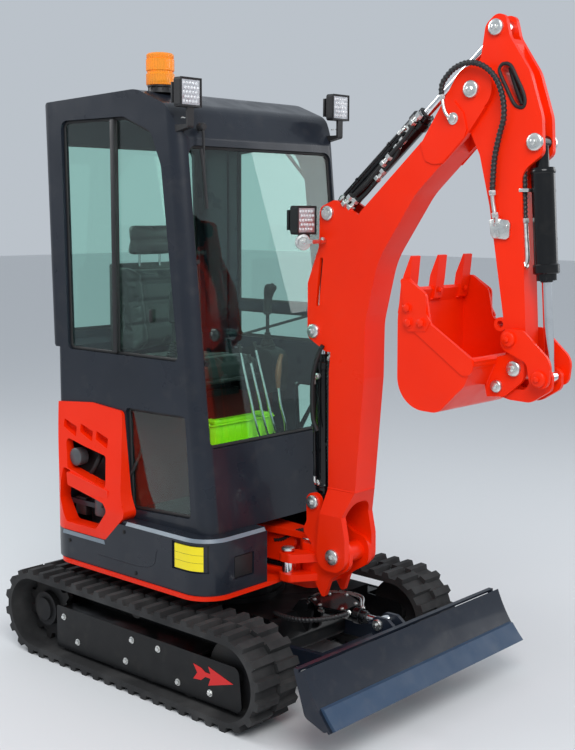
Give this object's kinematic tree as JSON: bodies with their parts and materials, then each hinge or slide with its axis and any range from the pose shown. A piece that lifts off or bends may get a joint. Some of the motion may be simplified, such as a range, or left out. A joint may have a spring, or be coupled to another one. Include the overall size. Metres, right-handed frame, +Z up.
{
  "type": "mini excavator",
  "caption": "Compact tracked excavator with a glazed cab, swinging boom, dozer blade and toothed digging bucket",
  "frame": {"origin": "Middle of the footprint on the ground, under the track lugs", "axes": "X forward to the blade, Y left, Z up"},
  "size_m": [2.3644, 1.24, 2.5789],
  "materials": {
    "rubber_track": "matte moulded rubber",
    "black_paint": "satin black",
    "black_steel": "dark running gear",
    "slate_paint": "satin dark slate",
    "red_paint": "gloss vermilion",
    "edge_steel": "worn steel",
    "tinted_glass": "green tint",
    "chrome_rod": "polished",
    "barrel_black": "gloss black",
    "black_plastic": "moulded grain",
    "seat_vinyl": "black vinyl",
    "amber": "clear amber lens",
    "lamp_black": "lamp housing",
    "lime": "bright lime",
    "inner_red": "dark red",
    "engine_grey": "grey casting"
  },
  "bodies": {
    "undercarriage": {"track_left": "rubber_track", "track_right": "rubber_track", "track_frames": "black_paint", "sprockets": "black_steel", "idlers_and_rollers": "black_steel", "centre_frame": "black_paint"},
    "blade": {"blade": "slate_paint", "blade_edge": "edge_steel"},
    "blade_barrel": {"blade_cylinder_barrel": "barrel_black"},
    "blade_rod": {"blade_cylinder_rod": "chrome_rod"},
    "house": {"deck": "red_paint", "cowl": "slate_paint", "side_panels": "red_paint", "cab_frame": "slate_paint", "cab_roof": "slate_paint", "cab_glass": "tinted_glass", "cab_floor": "black_plastic", "engine": "engine_grey", "engine_cover": "inner_red", "seat_base": "black_paint", "seat_cushion": "seat_vinyl", "seat_back": "seat_vinyl", "consoles": "black_plastic", "front_plinth": "inner_red", "levers": "chrome_rod", "front_tray": "lime", "beacon": "amber", "roof_lamps": "lamp_black"},
    "door": {"door_frame": "slate_paint", "door_glass": "tinted_glass"},
    "bonnet": {"bonnet": "slate_paint"},
    "swing_bracket": {"swing_bracket": "red_paint"},
    "swing_barrel": {"swing_cylinder_barrel": "barrel_black"},
    "swing_rod": {"swing_cylinder_rod": "chrome_rod"},
    "boom": {"boom": "red_paint", "boom_lamp": "lamp_black"},
    "boom_barrel": {"boom_cylinder_barrel": "barrel_black"},
    "boom_rod": {"boom_cylinder_rod": "chrome_rod"},
    "arm": {"arm": "red_paint"},
    "arm_barrel": {"arm_cylinder_barrel": "barrel_black"},
    "arm_rod": {"arm_cylinder_rod": "chrome_rod"},
    "bucket": {"bucket_shell": "red_paint", "bucket_teeth": "red_paint"},
    "bucket_barrel": {"bucket_cylinder_barrel": "barrel_black"},
    "bucket_rod": {"bucket_cylinder_rod": "chrome_rod"},
    "idler": {"idler_links": "red_paint"},
    "coupler": {"coupler_link": "red_paint"}
  },
  "joints": [
    {"name": "slew", "type": "hinge", "parent": "undercarriage", "child": "house", "pos_m": [-0.40882, 0, 0.38], "axis": [0, 0, 1], "continuous": true},
    {"name": "boom_swing", "type": "hinge", "parent": "house", "child": "swing_bracket", "pos_m": [0.07118, 0, 0.51], "axis": [0, 0, 1], "range_deg": [-50, 50]},
    {"name": "boom_lift", "type": "hinge", "parent": "swing_bracket", "child": "boom", "pos_m": [0.26618, 0, 0.575], "axis": [0, -1, 0], "range_deg": [-84, 4]},
    {"name": "arm_swing", "type": "hinge", "parent": "boom", "child": "arm", "pos_m": [0.83718, 0, 2.334], "axis": [0, 1, 0], "range_deg": [-95, 4]},
    {"name": "bucket_curl", "type": "hinge", "parent": "arm", "child": "bucket", "pos_m": [1.03518, 0, 1.385], "axis": [0, 1, 0], "range_deg": [-165, 0]},
    {"name": "blade_lift", "type": "hinge", "parent": "undercarriage", "child": "blade", "pos_m": [0.04118, 0, 0.175], "axis": [0, -1, 0], "range_deg": [-32, 6]},
    {"name": "cab_door", "type": "hinge", "parent": "house", "child": "door", "pos_m": [-0.85882, 0.478, 1.42], "axis": [0, 0, 1], "range_deg": [0, 100]},
    {"name": "bonnet_lift", "type": "hinge", "parent": "house", "child": "bonnet", "pos_m": [-0.99482, 0, 1.244], "axis": [0, 1, 0], "range_deg": [0, 75]},
    {"name": "boom_cylinder_tilt", "type": "hinge", "parent": "swing_bracket", "child": "boom_barrel", "pos_m": [0.14018, 0, 0.77], "axis": [0, -1, 0], "range_deg": [-93.11, 5.39]},
    {"name": "boom_cylinder_stroke", "type": "slide", "parent": "boom_barrel", "child": "boom_rod", "axis": [-0.0132, 0, 0.9999], "range_m": [-0.01481, 0.29096]},
    {"name": "arm_cylinder_tilt", "type": "hinge", "parent": "boom", "child": "arm_barrel", "pos_m": [0.19918, 0, 1.91], "axis": [0, 1, 0], "range_deg": [-11.14, 1.43]},
    {"name": "arm_cylinder_stroke", "type": "slide", "parent": "arm_barrel", "child": "arm_rod", "axis": [0.7547, 0, 0.656], "range_m": [-0.28491, 0.01295]},
    {"name": "bucket_cylinder_tilt", "type": "hinge", "parent": "arm", "child": "bucket_barrel", "pos_m": [1.08118, 0, 2.148], "axis": [0, 1, 0], "range_deg": [-6.07, 1]},
    {"name": "bucket_cylinder_stroke", "type": "slide", "parent": "bucket_barrel", "child": "bucket_rod", "axis": [0.0759, 0, -0.9971], "range_m": [-0.22335, 0.001]},
    {"name": "blade_cylinder_tilt", "type": "hinge", "parent": "undercarriage", "child": "blade_barrel", "pos_m": [0.08118, 0, 0.322], "axis": [0, -1, 0], "range_deg": [-33.79, 7.15]},
    {"name": "blade_cylinder_stroke", "type": "slide", "parent": "blade_barrel", "child": "blade_rod", "axis": [0.9998, 0, 0.0216], "range_m": [-0.01665, 0.08445]},
    {"name": "swing_cylinder_tilt", "type": "hinge", "parent": "house", "child": "swing_barrel", "pos_m": [-0.36882, -0.15, 0.505], "axis": [0, 0, 1], "range_deg": [-4.11, 4.11]},
    {"name": "swing_cylinder_stroke", "type": "slide", "parent": "swing_barrel", "child": "swing_rod", "axis": [0.9989, 0.0465, 0], "range_m": [-0.09856, 0.09856]},
    {"name": "idler_turn", "type": "hinge", "parent": "arm", "child": "idler", "pos_m": [1.02118, 0, 1.487], "axis": [0, 1, 0], "range_deg": [-85.39, 1]},
    {"name": "coupler_turn", "type": "hinge", "parent": "bucket", "child": "coupler", "pos_m": [0.96818, 0, 1.318], "axis": [0, 1, 0], "range_deg": [-1, 93.34]}
  ],
  "couplings": [
    {"joint": "boom_cylinder_tilt", "follows": "boom_lift", "ratio": 1.0965},
    {"joint": "boom_cylinder_stroke", "follows": "boom_lift", "m_per_rad": -0.19778},
    {"joint": "arm_cylinder_tilt", "follows": "arm_swing", "ratio": 0.10677},
    {"joint": "arm_cylinder_stroke", "follows": "arm_swing", "m_per_rad": 0.17123},
    {"joint": "bucket_cylinder_tilt", "follows": "bucket_curl", "ratio": 0.03075},
    {"joint": "bucket_cylinder_stroke", "follows": "bucket_curl", "m_per_rad": 0.077209},
    {"joint": "blade_cylinder_tilt", "follows": "blade_lift", "ratio": 1.0248},
    {"joint": "blade_cylinder_stroke", "follows": "blade_lift", "m_per_rad": -0.14941},
    {"joint": "swing_cylinder_tilt", "follows": "boom_swing", "ratio": -0.06218},
    {"joint": "swing_cylinder_stroke", "follows": "boom_swing", "m_per_rad": 0.1118},
    {"joint": "idler_turn", "follows": "bucket_curl", "ratio": 0.51143},
    {"joint": "coupler_turn", "follows": "bucket_curl", "ratio": -0.55961}
  ]
}
